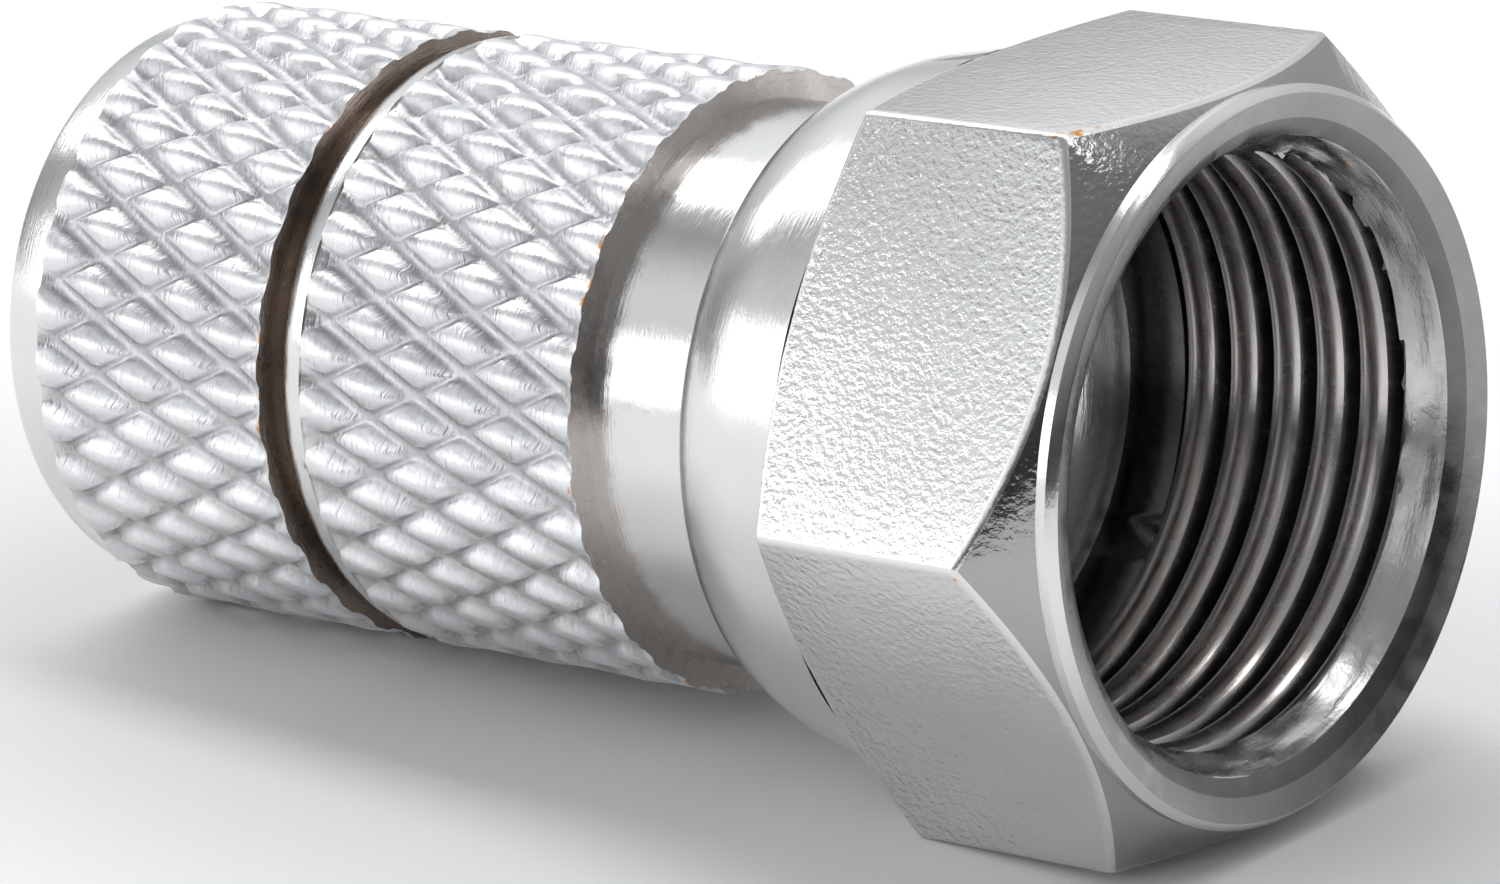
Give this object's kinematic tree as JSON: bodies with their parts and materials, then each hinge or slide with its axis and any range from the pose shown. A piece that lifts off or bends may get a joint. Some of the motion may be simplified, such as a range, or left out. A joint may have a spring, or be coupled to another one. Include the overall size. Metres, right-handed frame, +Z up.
{
  "type": "f connector",
  "caption": "Twist-on coaxial cable connector: knurled turned sleeve with a cable bore, and a free-spinning hexagonal coupling nut with an internal thread.",
  "frame": {"origin": "on the common axis, where the coupling nut's thread begins behind its countersink", "axes": "+X along the axis, out of the nut's mouth towards the mating socket; +Z up, square to the flat of the nut on which the connector lies; +Y level, across the axis"},
  "size_m": [0.0211, 0.0126, 0.011],
  "materials": {
    "sleeve_plating": "bright nickel plate",
    "nut_plating": "bright nickel plate"
  },
  "bodies": {
    "sleeve": {"body_sleeve": "sleeve_plating"},
    "nut": {"coupling_nut": "nut_plating"}
  },
  "joints": [
    {"name": "nut_spin", "type": "hinge", "parent": "sleeve", "child": "nut", "pos_m": [-0.00594, 0, 0], "axis": [1, 0, 0], "continuous": true}
  ]
}
